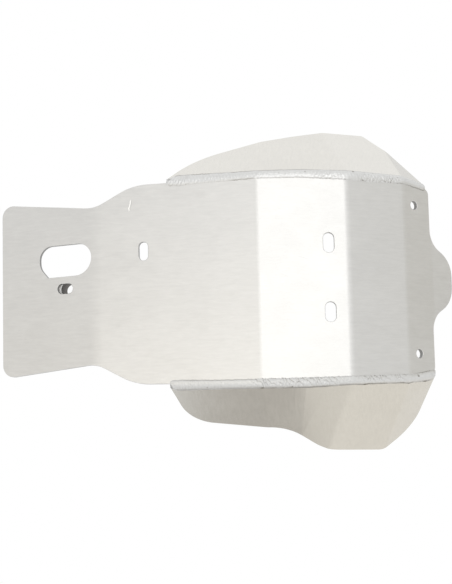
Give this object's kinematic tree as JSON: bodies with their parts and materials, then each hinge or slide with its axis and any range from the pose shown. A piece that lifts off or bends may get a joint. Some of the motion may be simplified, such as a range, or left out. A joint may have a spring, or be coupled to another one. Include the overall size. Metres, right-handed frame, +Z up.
{
  "type": "motorcycle skid plate",
  "caption": "Welded aluminium skid plate for an off-road motorcycle: a folded belly plate with side wings, a nose lobe, bolt holes and slots, a drain opening and a rear spacer.",
  "frame": {"origin": "middle of the level floor panel's inner face, on the centreline", "axes": "+X towards the front of the motorcycle, +Y towards its left side, +Z up"},
  "size_m": [0.4573, 0.333, 0.1283],
  "materials": {
    "plate_sheet": "mill finish with faint rolling lines",
    "wing_sheet": "mill finish, slightly warm",
    "weld_metal": "rippled weld bead, satin",
    "spacer_tube": "turned, satin"
  },
  "bodies": {
    "root": {"main_plate": "plate_sheet", "left_wing": "wing_sheet", "right_wing": "wing_sheet", "left_weld": "weld_metal", "right_weld": "weld_metal", "rear_spacer": "spacer_tube", "spacer_weld": "weld_metal"}
  },
  "joints": []
}
